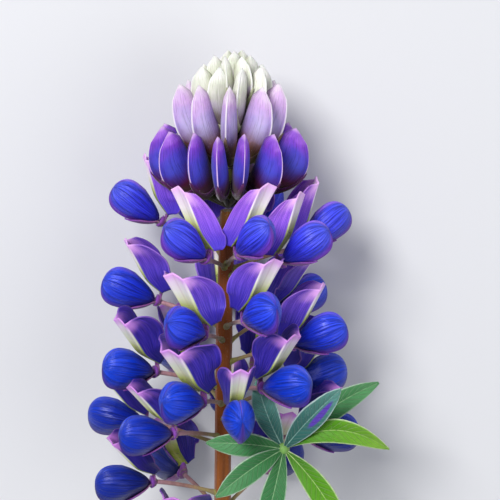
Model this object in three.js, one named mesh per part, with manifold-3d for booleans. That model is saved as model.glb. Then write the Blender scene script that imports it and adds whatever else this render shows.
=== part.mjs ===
// A cut lupin flower spike lying on its side: a round stem with whorls of open pea flowers,
// a ring of closed violet buds, a cone of pale buds at the tip and one palmate leaf.
// Millimetres, +Z up. The stem runs along +Y with the tip at the +Y end, and the flowers of the
// lower side rest on z = 0. The origin is the middle of the bounding box, on the surface.
//
// Heights along the stem are counted from its cut end. An azimuth of 0 points along +X, 90
// straight up along +Z, 180 along -X and 270 down at the surface that the spike lies on.

import * as THREE from "three";
import { mergeVertices } from "three/addons/utils/BufferGeometryUtils.js";
import Module from "manifold-3d";

const wasm = await Module();
wasm.setup();

// Driving dimensions of the stem

const STEM_TOP = 89;
const PALE_START = 96.5;
const CORE_TOP = 116.5;
const SPIKE_LENGTH = 121;
const TIP_LEAN = 3.3; // of the tip to the side of the cut end
const STEM_RADII = [1.7, 1.65, 1.65, 1.6, 1.55, 1.45]; // from the cut end to the top
const BUD_CORE_RADII = [1.45, 1.45];
const PALE_CORE_RADII = [1.5, 1.7, 1.2, 0.7];
const RESTING_HEIGHT = 21.7; // of the stem's axis above the surface
const FIT_GAP = 0.32; // between pieces that seat on each other

// Driving dimensions of an open flower, along its own axis from the mouth of the flower stalk

const STALK_RADIUS = 0.5;
const STALK_FOOT_RADIUS = 0.65;
const STALK_CLIMB = 4.5; // from its foot on the stem to its mouth
const STALK_ARCH = 0.7;
const CUP_LENGTH = 1.0;
const CUP_STATIONS = [[-0.35, 0.5], [0.25, 0.95], [CUP_LENGTH, 1.25]]; // [along, radius]
const LIP_LENGTH = 7.4;
const LIP_HALF_WIDTHS = [0.95, 1.6, 1.9, 0.8]; // from its foot to its tip
const BLADE = 0.66; // thickness of banner petals and calyx lips
const WING_START = CUP_LENGTH + FIT_GAP;
const WING_LENGTH = 11.4;
const WING_MIDDLE = WING_START + WING_LENGTH / 2;
const WING_EGG = 0.3; // how much deeper the front half is than the foot
const WING_BLUNT = [0.8, 1.3]; // of its outline's front and foot, where under 1 is rounder
const WING_PINCH = 1.2; // of the cheeks towards the lower edge
const WING_KEEL = 1.1; // how much deeper the lower edge hangs than the upper edge rises
const BANNER_BASE = [0.7, 1.95];
const BANNER_CHANNEL = [1.15, 1.85]; // half width of the middle strip at its foot and its tip
const BANNER_KNEE = 0.3; // share of its length where it bends up from the wing petals
const BANNER_BEND = 0.08; // how softly it bends there
const BANNER_RIDGE = 0.3; // share of the half width at which the sides fold back
const BANNER_FOLD = [72, 55]; // of the sides at the ridges and at the edges
const BANNER_ROWS = [0, 0.27, 0.5, 0.78, 1];

// Whorls of open flowers from the top down. level is the height of the wing petals, reach their
// distance from the stem, pitch how far the flowers look up, banner the banner petal's length,
// lean its angle over the flower's axis below and above its knee, lobe the width of its folded
// sides, crest the share of its length where they are widest, droop how far they hang towards
// its foot per width, and wing the half height and half width of the wing petals.
// Each flower is [azimuth, rise, turn, push, sway, spread]: rise is its own change of level, turn
// swings it sideways on its stalk, push is how far it is pressed in towards the stem from below,
// sway is how far the tip of its banner leans to the side, and spread is the share of the
// whorl's lobe width that its own banner has, 1 where it is left out.

const WHORLS = [
  {
    level: 87,
    reach: 18.8,
    pitch: 38,
    banner: 13.4,
    lean: [16, 38],
    lobe: 5.2,
    crest: 0.46,
    droop: 0.4,
    wing: [3.4, 3.15],
    flowers: [
      [-7, -1.6, 0, -1, 0],
      [35, -2.8, -14, 0, 2],
      [73, -0.2, -19, 0, 4.4, 0.8],
      [115, -1, 26, 0, -4.4, 0.85],
      [190, 2.8, -20, 0, 0],
      [244, 0, 0, 0, 0],
      [296, -0.5, 0, 0, 0],
    ],
  },
  {
    level: 70.5,
    reach: 19.8,
    pitch: 24,
    banner: 13.8,
    lean: [16, 40],
    lobe: 6.5,
    crest: 0.6,
    droop: 0.3,
    wing: [3.8, 3.0],
    flowers: [
      [14, -5.8, 0, 0, 0],
      [-36, -2, 14, 0, -3.4],
      [68.5, 1.8, -10, 0, 2.4, 0.85],
      [112, -1, 14, 0, -2.4],
      [188, 1.6, -20, 0, 0],
      [268, -1, 0, 3.4, 0],
    ],
  },
  {
    level: 55,
    reach: 20.4,
    pitch: 14,
    banner: 13.8,
    lean: [16, 43],
    lobe: 6.5,
    crest: 0.64,
    droop: -0.1,
    wing: [3.9, 3.2],
    flowers: [
      [-12, -1.3, 0, 0, 0],
      [52, 2.4, -14, 0, -0.2, 0.9],
      [81, -3.2, 0, 0, 0.2, 0.6],
      [112.5, 0, 16, 0, -1.4, 1.15],
      [158, 3.4, -10, 0, 0],
      [236, 0, 0, 0, 0],
      [298, 0, 0, 0.7, 0],
    ],
  },
  {
    level: 45.5,
    reach: 21.4,
    pitch: 8,
    banner: 12.4,
    lean: [16, 44],
    lobe: 5.6,
    crest: 0.6,
    droop: 0.2,
    wing: [3.8, 3.15],
    flowers: [
      [134.5, 1.8, 14, 0, -2.1],
      [186, -0.2, 0, -1, 0],
      [10, -1.5, 0, -1, 0],
      [270, -1, 0, 5, 0],
    ],
  },
  {
    level: 31,
    reach: 21.4,
    pitch: 4,
    banner: 13,
    lean: [16, 46],
    lobe: 5.6,
    crest: 0.6,
    droop: 0.2,
    wing: [3.7, 3.15],
    flowers: [
      [112, -4, 0, 0, 0],
      [160, 3.4, 0, 0, 0],
      [234, -1, 0, 0.2, 0],
      [-52, 0, 0, 0, 0],
    ],
  },
];

// Rows of closed buds. base is [height, distance from the stem] of a bud's foot, tilt its lean
// from upright, bow the bulge of its outer edge and foot the height where its stalk starts.

const evenly = (count, first) => Array.from({ length: count }, (_, k) => first + (360 * k) / count);
const VIOLET_ROW = {
  azimuths: [12, 50, 76, 98, 120, 147, 172, 200, 228, 257, 290, 330],
  base: [93.2, 6.7],
  tilt: 28,
  length: 14.4,
  width: 7.6,
  thick: 3.7,
  bow: 2,
  foot: 89.8,
};
const PALE_ROWS = [
  {
    azimuths: evenly(9, 10),
    base: [98.8, 2.9],
    tilt: 23,
    length: 17.2,
    width: 6.4,
    thick: 3.8,
    bow: 1.3,
    foot: 97.5,
  },
  {
    azimuths: evenly(8, 25),
    base: [105, 2.5],
    tilt: 15,
    length: 13.4,
    width: 5.4,
    thick: 3.6,
    bow: 1,
    foot: 102.5,
  },
  {
    azimuths: evenly(6, 60),
    base: [109, 1.6],
    tilt: 9,
    length: 11,
    width: 4.6,
    thick: 3.2,
    bow: 0.8,
    foot: 107,
  },
  {
    azimuths: evenly(3, 90),
    base: [113, 0.9],
    tilt: 4,
    length: 7.8,
    width: 3.8,
    thick: 3,
    bow: 0.4,
    foot: 111.5,
  },
];

// The leaf: its petiole leaves the stem below the flowers and holds a fan of folded leaflets.

const PETIOLE_FOOT = 17;
const PETIOLE_RADIUS = 0.85;
const PETIOLE_FOOT_RADIUS = 1.2;
const LEAF_HUB = [12.3, 43.8, 13.5]; // from the stem's cut end, before the spike is set down
const LEAFLET_FOLD = 32;
// [bearing from +X towards the spike's tip, rise over the surface, length, arch, sideways bow]
const LEAFLETS = [
  [2, 14, 20.5, 4, 4.5],
  [32, -12, 23, 1.5, 1.5],
  [53, 22, 19, 1, 0.5],
  [113, -22, 14.5, 0.5, 0.5],
  [174, 14, 15, 4, -1],
  [212, 26, 16, 4, -1],
  [256, 20, 19, 4, 0],
  [306, 20, 21, 4, 1.5],
];
const LEAFLET_STATIONS = [0.04, 0.2, 0.42, 0.64, 0.85, 1];
const LEAFLET_HALF_WIDTHS = [0.35, 1.5, 2.4, 2.5, 1.65, 0.3];
const LEAFLET_THICKNESS = 0.76;
const HUB_RADIUS = 1.25;

const radians = THREE.MathUtils.degToRad;
const lerp = THREE.MathUtils.lerp;
const vec = (x, y, z) => new THREE.Vector3(x, y, z);

// Mesh and solid helpers

function closedGeometry(points, triangles) {
  const flat = new Float32Array(points.length * 3);
  points.forEach((p, i) => flat.set([p.x, p.y, p.z], i * 3));
  const geometry = new THREE.BufferGeometry();
  geometry.setAttribute("position", new THREE.BufferAttribute(flat, 3));
  geometry.setIndex(triangles.flat());
  return geometry;
}

function signedVolume(points, triangles) {
  let sum = 0;
  for (const [a, b, c] of triangles) {
    sum += points[a].dot(vec(0, 0, 0).crossVectors(points[b], points[c]));
  }
  return sum / 6;
}

function solidFrom(points, triangles) {
  const outward = signedVolume(points, triangles) > 0;
  const faces = outward ? triangles : triangles.map(([a, b, c]) => [a, c, b]);
  return solidFromGeometry(closedGeometry(points, faces));
}

function solidFromGeometry(geometry) {
  geometry.deleteAttribute("normal");
  geometry.deleteAttribute("uv");
  const merged = mergeVertices(geometry, 1e-5);
  return new wasm.Manifold(
    new wasm.Mesh({
      numProp: 3,
      vertProperties: merged.attributes.position.array,
      triVerts: new Uint32Array(merged.index.array),
    }),
  );
}

function geometryFromSolid(solid) {
  const mesh = solid.getMesh();
  const stride = mesh.numProp;
  const flat = new Float32Array(mesh.numVert * 3);
  for (let i = 0; i < mesh.numVert; i++) {
    flat.set(mesh.vertProperties.subarray(i * stride, i * stride + 3), i * 3);
  }
  const geometry = new THREE.BufferGeometry();
  geometry.setAttribute("position", new THREE.BufferAttribute(flat, 3));
  geometry.setIndex(new THREE.BufferAttribute(mesh.triVerts, 1));
  return geometry;
}

// Rings of equal size skinned one after another, with a fan over each end.
function loft(rings) {
  const sides = rings[0].length;
  const points = rings.flat();
  const triangles = [];
  for (let i = 0; i + 1 < rings.length; i++) {
    for (let k = 0; k < sides; k++) {
      const next = (k + 1) % sides;
      const [a, b] = [i * sides + k, i * sides + next];
      triangles.push([a, b, b + sides], [a, b + sides, a + sides]);
    }
  }
  const last = (rings.length - 1) * sides;
  for (const [start, flip] of [[0, true], [last, false]]) {
    const middle = vec(0, 0, 0);
    for (let k = 0; k < sides; k++) middle.add(points[start + k]);
    points.push(middle.divideScalar(sides));
    const hub = points.length - 1;
    for (let k = 0; k < sides; k++) {
      const [a, b] = [start + k, start + ((k + 1) % sides)];
      triangles.push(flip ? [hub, b, a] : [hub, a, b]);
    }
  }
  return solidFrom(points, triangles);
}

// A round bar through centres, with a radius at each of them.
function bar(centres, radii, sides) {
  const rings = centres.map((centre, i) => {
    const before = centres[Math.max(i - 1, 0)];
    const after = centres[Math.min(i + 1, centres.length - 1)];
    const along = after.clone().sub(before).normalize();
    const across = vec(0, 0, 1).cross(along);
    if (across.length() < 0.1) across.set(1, 0, 0).cross(along);
    across.normalize();
    const other = along.clone().cross(across);
    return Array.from({ length: sides }, (_, k) => {
      const turn = (2 * Math.PI * k) / sides;
      return centre
        .clone()
        .addScaledVector(across, radii[i] * Math.cos(turn))
        .addScaledVector(other, radii[i] * Math.sin(turn));
    });
  });
  return loft(rings);
}

// A curved sheet of even thickness over a grid of points, split alike on both faces.
function blade(grid, thickness) {
  const rows = grid.length;
  const columns = grid[0].length;
  const at = (i, j) =>
    grid[THREE.MathUtils.clamp(i, 0, rows - 1)][THREE.MathUtils.clamp(j, 0, columns - 1)];
  const front = [];
  const back = [];
  for (let i = 0; i < rows; i++) {
    for (let j = 0; j < columns; j++) {
      const down = at(i + 1, j).clone().sub(at(i - 1, j));
      const across = at(i, j + 1).clone().sub(at(i, j - 1));
      const normal = down.cross(across).normalize().multiplyScalar(thickness / 2);
      front.push(at(i, j).clone().add(normal));
      back.push(at(i, j).clone().sub(normal));
    }
  }
  const points = [...front, ...back];
  const layer = rows * columns;
  const triangles = [];
  for (let i = 0; i + 1 < rows; i++) {
    for (let j = 0; j + 1 < columns; j++) {
      const a = i * columns + j;
      const [b, c, d] = [a + 1, a + columns + 1, a + columns];
      triangles.push([a, b, c], [a, c, d]);
      triangles.push([a + layer, c + layer, b + layer], [a + layer, d + layer, c + layer]);
    }
  }
  const rim = [];
  for (let j = 0; j < columns; j++) rim.push(j);
  for (let i = 1; i < rows; i++) rim.push(i * columns + columns - 1);
  for (let j = columns - 2; j >= 0; j--) rim.push((rows - 1) * columns + j);
  for (let i = rows - 2; i > 0; i--) rim.push(i * columns);
  rim.forEach((a, k) => {
    const b = rim[(k + 1) % rim.length];
    triangles.push([b, a, a + layer], [b, a + layer, b + layer]);
  });
  return solidFrom(points, triangles);
}

// The stem's own line and the directions round it

function stemCentre(height) {
  return vec(TIP_LEAN * (height / SPIKE_LENGTH) ** 3, height, 0);
}

function outward(azimuth) {
  return vec(Math.cos(radians(azimuth)), 0, Math.sin(radians(azimuth)));
}

// A flower's frame: x along its axis, z towards the spike's tip, y to its side.
function flowerFrame(whorl, [azimuth, rise, turn, push]) {
  const facing = outward(azimuth + turn);
  const pitch = radians(whorl.pitch);
  const along = facing.clone().multiplyScalar(Math.cos(pitch)).add(vec(0, Math.sin(pitch), 0));
  const up = facing.clone().multiplyScalar(-Math.sin(pitch)).add(vec(0, Math.cos(pitch), 0));
  const side = up.clone().cross(along);
  const mouth = stemCentre(whorl.level + rise)
    .addScaledVector(outward(azimuth), whorl.reach - push)
    .addScaledVector(along, -WING_MIDDLE);
  return new THREE.Matrix4().makeBasis(along, side, up).setPosition(mouth);
}

// Open flower: stalk with its calyx, banner petal and the pair of wing petals

function stalkSolid(whorl, flower) {
  const frame = flowerFrame(whorl, flower);
  const mouth = vec(0, 0, 0).applyMatrix4(frame);
  const foot = stemCentre(mouth.y - STALK_CLIMB);
  const bend = foot.clone().lerp(mouth, 0.5).add(vec(0, STALK_ARCH, 0));
  const curve = new THREE.QuadraticBezierCurve3(foot, bend, mouth);
  const steps = [0, 0.5, 1].map((t) => curve.getPoint(t));
  return bar(steps, [STALK_FOOT_RADIUS, STALK_RADIUS, STALK_RADIUS], 5);
}

function cupSolid(frame) {
  const rings = CUP_STATIONS.map(([x, radius]) =>
    Array.from({ length: 5 }, (_, k) => {
      const turn = radians(72 * k + 90);
      return vec(x, radius * Math.cos(turn), radius * Math.sin(turn)).applyMatrix4(frame);
    }),
  );
  return loft(rings);
}

// The wing pair's outline in side view: turn runs round it from the blunt front end, over the
// top, to the narrow foot. Returns [forward, up] in half lengths and half heights.
function wingOutline(turn) {
  const forward = Math.cos(turn);
  const blunt = WING_BLUNT[forward > 0 ? 0 : 1];
  const stretched = Math.sign(forward) * Math.abs(forward) ** blunt;
  const deeper = Math.sin(turn) < 0 ? WING_KEEL : 1;
  return [stretched, deeper * Math.sin(turn) * (1 + WING_EGG * forward)];
}

// How far the wing pair's lower edge hangs below the flower's axis at x.
function wingUnderside(whorl, x) {
  const share = THREE.MathUtils.clamp((x - WING_MIDDLE) / (WING_LENGTH / 2), -1, 1);
  return WING_KEEL * whorl.wing[0] * Math.sqrt(1 - share * share) * (1 + WING_EGG * share);
}

// The calyx's long lower lip, a shallow boat held under the wing petals.
function lipSolid(whorl, frame) {
  const grid = [0.35, 2.4, 4.8, LIP_LENGTH].map((x, i) => {
    const under = Math.max(0.75, wingUnderside(whorl, x)) + FIT_GAP + BLADE / 2;
    return [-1, 0, 1].map((q) =>
      vec(x, LIP_HALF_WIDTHS[i] * q, -under + 0.3 * q * q).applyMatrix4(frame),
    );
  });
  return blade(grid, BLADE);
}

// Both wing petals as one inflated pod with round cheeks and a pinched lower edge.
function wingsSolid(whorl, frame) {
  const [height, cheek] = whorl.wing;
  const spokes = 9;
  const layers = [35, 66, 90, 114, 145].map(radians);
  const points = [];
  for (const layer of layers) {
    for (let k = 0; k < spokes; k++) {
      const turn = (2 * Math.PI * k) / spokes;
      const [forward, up] = wingOutline(turn);
      const share = Math.sin(layer);
      const pinch = 1 + WING_PINCH * Math.max(0, -Math.sin(turn));
      const flank = Math.sign(Math.cos(layer)) * Math.abs(Math.cos(layer)) ** pinch;
      const x = WING_MIDDLE + (share * forward * WING_LENGTH) / 2;
      points.push(vec(x, cheek * flank, share * height * up));
    }
  }
  points.push(vec(WING_MIDDLE, cheek, 0), vec(WING_MIDDLE, -cheek, 0));
  const [near, far] = [points.length - 2, points.length - 1];
  const triangles = [];
  const last = (layers.length - 1) * spokes;
  for (let k = 0; k < spokes; k++) {
    const next = (k + 1) % spokes;
    triangles.push([near, k, next], [far, last + next, last + k]);
    for (let i = 0; i + 1 < layers.length; i++) {
      const [a, b] = [i * spokes + k, i * spokes + next];
      triangles.push([a, a + spokes, b + spokes], [a, b + spokes, b]);
    }
  }
  return solidFrom(points.map((p) => p.applyMatrix4(frame)), triangles);
}

// How far a banner's folded side reaches from its ridge, at a share t from foot to tip.
function lobeReach(whorl, spread, t) {
  const swell = t ** (Math.log(0.5) / Math.log(whorl.crest));
  return spread * whorl.lobe * Math.sin(Math.PI * lerp(0.04, 0.93, swell)) ** 0.5;
}

// The banner petal's middle line: it runs out over the wing petals, then bends up at its knee.
// Returns a point of it along and above the flower's axis, and its angle over that axis.
function bannerSpine(whorl, t) {
  const [first, second] = whorl.lean.map(radians);
  const past = t - BANNER_KNEE;
  const soft = Math.hypot(past, BANNER_BEND);
  const bent = (past + soft + BANNER_KNEE - Math.hypot(BANNER_KNEE, BANNER_BEND)) / 2;
  const bending = (1 + past / soft) / 2;
  const forward = [Math.cos(first), Math.cos(second) - Math.cos(first)];
  const upward = [Math.sin(first), Math.sin(second) - Math.sin(first)];
  const x = BANNER_BASE[0] + whorl.banner * (t * forward[0] + bent * forward[1]);
  const z = BANNER_BASE[1] + whorl.banner * (t * upward[0] + bent * upward[1]);
  const angle = Math.atan2(upward[0] + bending * upward[1], forward[0] + bending * forward[1]);
  return [x, z, angle];
}

// A point of the banner petal: t runs from its foot to its tip, and q is 0 on its middle line,
// BANNER_RIDGE where it folds back and 1 at its edges.
function bannerPoint(whorl, [, , , , sway, spread = 1], t, q) {
  const [x, z, angle] = bannerSpine(whorl, t);
  const channel = lerp(...BANNER_CHANNEL, t);
  const inner = Math.min(Math.abs(q) / BANNER_RIDGE, 1);
  const outer = Math.max(0, Math.abs(q) - BANNER_RIDGE) / (1 - BANNER_RIDGE);
  const reach = lobeReach(whorl, spread, t) * outer;
  const fold = radians(lerp(...BANNER_FOLD, outer));
  const side = Math.sign(q) * (channel * inner + reach * Math.cos(fold)) + sway * t;
  const back = reach * Math.sin(fold) + 0.35 * (1 - inner * inner);
  const droop = whorl.droop * reach + 0.9 * inner * t ** 4;
  return vec(
    x - back * Math.sin(angle) - droop * Math.cos(angle),
    side,
    z + back * Math.cos(angle) - droop * Math.sin(angle),
  );
}

function bannerSolid(whorl, flower, frame) {
  const half = [BANNER_RIDGE, 0.62, 1];
  const columns = [...half.map((q) => -q).reverse(), 0, ...half];
  const grid = BANNER_ROWS.map((t) =>
    columns.map((q) => bannerPoint(whorl, flower, t, q).applyMatrix4(frame)),
  );
  return blade(grid, BLADE);
}

// Closed buds: flat pods set edge-on to the stem, each on a short stalk from the spike's core

function budSolid(row, azimuth, grow) {
  const radial = outward(azimuth);
  const tilt = radians(row.tilt);
  const along = radial.clone().multiplyScalar(Math.sin(tilt)).add(vec(0, Math.cos(tilt), 0));
  const out = radial.clone().multiplyScalar(Math.cos(tilt)).add(vec(0, -Math.sin(tilt), 0));
  const side = along.clone().cross(out);
  const foot = stemCentre(row.base[0]).addScaledVector(radial, row.base[1]);
  const ring = (centre, wide, thick) =>
    Array.from({ length: 6 }, (_, k) => {
      const turn = (2 * Math.PI * k) / 6;
      return centre
        .clone()
        .addScaledVector(out, wide * Math.cos(turn))
        .addScaledVector(side, thick * Math.sin(turn));
    });
  const rings = [ring(stemCentre(row.foot), 0.5, 0.5), ring(foot, 0.75 + grow, 0.65 + grow)];
  for (const share of [0.2, 0.52, 0.84]) {
    const swell = Math.sin(Math.PI * lerp(0.1, 0.94, share)) ** 0.6;
    const centre = foot
      .clone()
      .addScaledVector(along, row.length * share)
      .addScaledVector(out, row.bow * Math.sin(Math.PI * share));
    rings.push(ring(centre, (row.width / 2) * swell + grow, (row.thick / 2) * swell + grow));
  }
  const tip = foot.clone().addScaledVector(along, row.length + grow);
  rings.push(ring(tip, 0.45 + grow, 0.35 + grow));
  return loft(rings);
}

const budRow = (row, grow = 0) => row.azimuths.map((azimuth) => budSolid(row, azimuth, grow));

function core(from, to, radii) {
  const heights = radii.map((_, i) => lerp(from, to, i / (radii.length - 1)));
  return bar(heights.map(stemCentre), radii, 8);
}

// Leaf: petiole, hub and folded leaflets

function leafletSolid([bearing, lift, length, arch, bow], hub) {
  const along = vec(
    Math.cos(radians(bearing)) * Math.cos(radians(lift)),
    Math.sin(radians(bearing)) * Math.cos(radians(lift)),
    Math.sin(radians(lift)),
  );
  const side = vec(0, 0, 1).cross(along).normalize();
  const up = along.clone().cross(side);
  const grid = LEAFLET_STATIONS.map((t, i) => {
    const half = LEAFLET_HALF_WIDTHS[i];
    const rise = arch * (t - 1.7 * t * t);
    const aside = 4 * bow * t * (1 - t);
    return [-1, 0, 1].map((q) =>
      hub
        .clone()
        .addScaledVector(along, length * t)
        .addScaledVector(up, rise + Math.abs(q) * half * Math.sin(radians(LEAFLET_FOLD)))
        .addScaledVector(side, aside + q * half * Math.cos(radians(LEAFLET_FOLD))),
    );
  });
  return blade(grid, LEAFLET_THICKNESS);
}

function leafSolid() {
  const hub = vec(...LEAF_HUB);
  const bearing = THREE.MathUtils.radToDeg(Math.atan2(hub.z, hub.x));
  const seat = STEM_RADII[1] + FIT_GAP + PETIOLE_FOOT_RADIUS / 2;
  const start = stemCentre(PETIOLE_FOOT).addScaledVector(outward(bearing), seat);
  const bend = start.clone().addScaledVector(outward(bearing), 9).add(vec(0, 5, 0));
  const curve = new THREE.QuadraticBezierCurve3(start, bend, hub);
  const steps = [0, 0.2, 0.4, 0.6, 0.8, 1].map((t) => curve.getPoint(t));
  const radii = steps.map((_, i) => lerp(PETIOLE_FOOT_RADIUS, PETIOLE_RADIUS, Math.min(1, i / 2)));
  const petiole = bar(steps, radii, 7);
  const knob = new THREE.SphereGeometry(HUB_RADIUS, 8, 6).translate(hub.x, hub.y, hub.z);
  const leaflets = LEAFLETS.map((leaflet) => leafletSolid(leaflet, hub));
  return wasm.Manifold.union([petiole, solidFromGeometry(knob), ...leaflets]);
}

// Everything below the surface is trimmed, so the lowest petals rest on small flat spots.
const ground = new THREE.BoxGeometry(200, 400, 60).translate(0, 60, -RESTING_HEIGHT - 30);
const groundSolid = solidFromGeometry(ground);

function largestBody(solid) {
  return solid.decompose().reduce((a, b) => (b.volume() > a.volume() ? b : a));
}

function restOnSurface(solid) {
  return largestBody(solid.subtract(groundSolid));
}

// Materials

const finish = (color, roughness = 0.55) =>
  new THREE.MeshStandardMaterial({ color, roughness, metalness: 0 });
const STEM_BROWN = finish(0x7a5230, 0.6);
const LEAF_GREEN = finish(0x4c8a38, 0.6);
const BANNER_VIOLET = [0x8b66dd, 0x5b47bf, 0x3d2fa6, 0x33289a, 0x33289a].map((c) => finish(c));
const WING_BLUE = [0x4a50ee, 0x2c40dc, 0x0d37c4, 0x0a2fb0, 0x0a2fb0].map((c) => finish(c, 0.45));
const BUD_VIOLET = finish(0x4c40a8);
const BUD_PALE = finish(0xc9bfdb, 0.7);

// Assembly

const spike = new THREE.Group();
spike.name = "lupin_flower_spike";

function place(name, solid, material) {
  const mesh = new THREE.Mesh(geometryFromSolid(restOnSurface(solid)), material);
  mesh.name = name;
  spike.add(mesh);
}

const stemParts = [core(0, STEM_TOP, STEM_RADII)];
WHORLS.forEach((whorl, w) =>
  whorl.flowers.forEach((flower, f) => {
    const frame = flowerFrame(whorl, flower);
    stemParts.push(stalkSolid(whorl, flower), cupSolid(frame), lipSolid(whorl, frame));
    const name = `whorl${w + 1}_flower${f + 1}`;
    place(`${name}_banner`, bannerSolid(whorl, flower, frame), BANNER_VIOLET[w]);
    place(`${name}_wings`, wingsSolid(whorl, frame), WING_BLUE[w]);
  }),
);
place("stem", wasm.Manifold.union(stemParts), STEM_BROWN);

const violetCore = core(STEM_TOP + FIT_GAP, PALE_START, BUD_CORE_RADII);
const violetBuds = wasm.Manifold.union([violetCore, ...budRow(VIOLET_ROW)]);
place("violet_buds", violetBuds, BUD_VIOLET);

const paleCore = core(PALE_START + FIT_GAP, CORE_TOP, PALE_CORE_RADII);
const paleBuds = wasm.Manifold.union([paleCore, ...PALE_ROWS.flatMap((row) => budRow(row))]);
const clearance = wasm.Manifold.union(budRow(VIOLET_ROW, FIT_GAP));
place("pale_buds", paleBuds.subtract(clearance), BUD_PALE);

place("leaf", leafSolid(), LEAF_GREEN);

// The spike is set down with the middle of its bounding box over the origin.
const box = new THREE.Box3().setFromObject(spike);
const middle = box.getCenter(new THREE.Vector3());
spike.position.set(-middle.x, -middle.y, -box.min.z);

export default spike;
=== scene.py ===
# The looks of a cut lupin flower spike that lies on a pale surface: each petal, bud, stalk and
# leaflet is a finer piece in the place of its plain solid.
#
# The plant is shaped in millimetres in its own axes: x to the right, y up the stem from its cut
# end, z towards the viewer from the stem's middle line. An azimuth of 0 points along x, 90 at the
# viewer and 270 down at the surface. SET_DOWN then lays it on the surface, in metres.

import math
import random
from bisect import bisect_left

import bpy
from mathutils import Matrix, Vector, noise


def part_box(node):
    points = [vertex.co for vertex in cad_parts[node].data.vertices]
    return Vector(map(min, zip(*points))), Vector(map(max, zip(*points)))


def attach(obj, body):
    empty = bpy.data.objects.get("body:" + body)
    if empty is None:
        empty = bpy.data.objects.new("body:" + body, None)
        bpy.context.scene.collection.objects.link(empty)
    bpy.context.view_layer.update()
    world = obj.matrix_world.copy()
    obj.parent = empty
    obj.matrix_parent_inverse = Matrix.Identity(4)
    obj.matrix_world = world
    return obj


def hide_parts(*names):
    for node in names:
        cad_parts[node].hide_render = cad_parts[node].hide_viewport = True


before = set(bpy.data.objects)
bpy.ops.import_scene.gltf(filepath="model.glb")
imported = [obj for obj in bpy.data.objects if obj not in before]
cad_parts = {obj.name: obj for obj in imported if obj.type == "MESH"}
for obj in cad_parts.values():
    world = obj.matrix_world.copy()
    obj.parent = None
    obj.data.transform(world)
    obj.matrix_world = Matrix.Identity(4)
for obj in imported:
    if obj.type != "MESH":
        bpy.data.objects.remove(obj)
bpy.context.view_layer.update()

# Driving dimensions of the stem

STEM_TOP = 89
CORE_TOP = 116.5
SPIKE_LENGTH = 121
TIP_LEAN = 3.3  # of the tip to the side of the cut end
STEM_RADII = [1.7, 1.65, 1.65, 1.6, 1.55, 1.45]  # from the cut end to the top
STEM_RIBS = 8
FIT_GAP = 0.32  # between pieces that seat on each other

# Driving dimensions of an open flower, along its own axis from the mouth of its stalk

STALK_CLIMB = 4.5  # from its foot on the stem to its mouth
STALK_ARCH = 0.7
STALK_SUNK = 0.9  # of its foot into the stem
STALK_RADIUS = 0.36
STALK_SWELL = 0.4  # more at its foot
STALK_FLARE = 0.12  # more at its mouth
CUP_SPAN = [-0.5, 1.15]  # of the calyx cup along the axis
CUP_RADIUS = 1.3
LIP_STATIONS = [0.1, 2.4, 4.8, 7]  # along the long lower lip
LIP_HALF_WIDTHS = [0.95, 1.45, 1.5, 0.7]
UPPER_LIP_SPAN = [0.2, 1.7]
UPPER_LIP_HALF_WIDTH = 0.95
WING_START = 1.32  # their foot, clear of the cup
WING_LENGTH = 11.4
WING_MIDDLE = WING_START + WING_LENGTH / 2
WING_EGG = 0.3  # how much deeper the front half is than the foot
WING_BLUNT = [0.8, 1.3]  # of its outline's front and foot, where under 1 is rounder
WING_PINCH = 1.2  # of the cheeks towards the lower edge
WING_KEEL = 1.1  # how much deeper the lower edge hangs than the upper edge rises
BANNER_BASE = [0.7, 1.95]
BANNER_CHANNEL = [1.3, 2.3]  # half width of the middle strip at its foot and its tip
BANNER_KNEE = 0.3  # share of its length where it bends up from the wing petals
BANNER_BEND = 0.08  # how softly it bends there
BANNER_RIDGE = 0.3  # share of the half width at which the sides fold back
BANNER_FOLD = [72, 55]  # of the sides at the ridges and at the edges

# Whorls of open flowers from the top down. level is the height of the wing petals, reach their
# distance from the stem, pitch how far the flowers look up, banner the banner petal's length,
# lean its angle over the flower's axis below and above its knee, lobe the width of its folded
# sides, crest the share of its length where they are widest, droop how far they hang towards
# its foot per width, and wing the half height and half width of the wing petals.
# Each flower is [azimuth, rise, turn, push, sway, spread]: rise is its own change of level, turn
# swings it sideways on its stalk, push is how far it is pressed in towards the stem from below,
# sway is how far the tip of its banner leans to the side, and spread is the share of the
# whorl's lobe width that its own banner has, 1 where it is left out.

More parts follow.
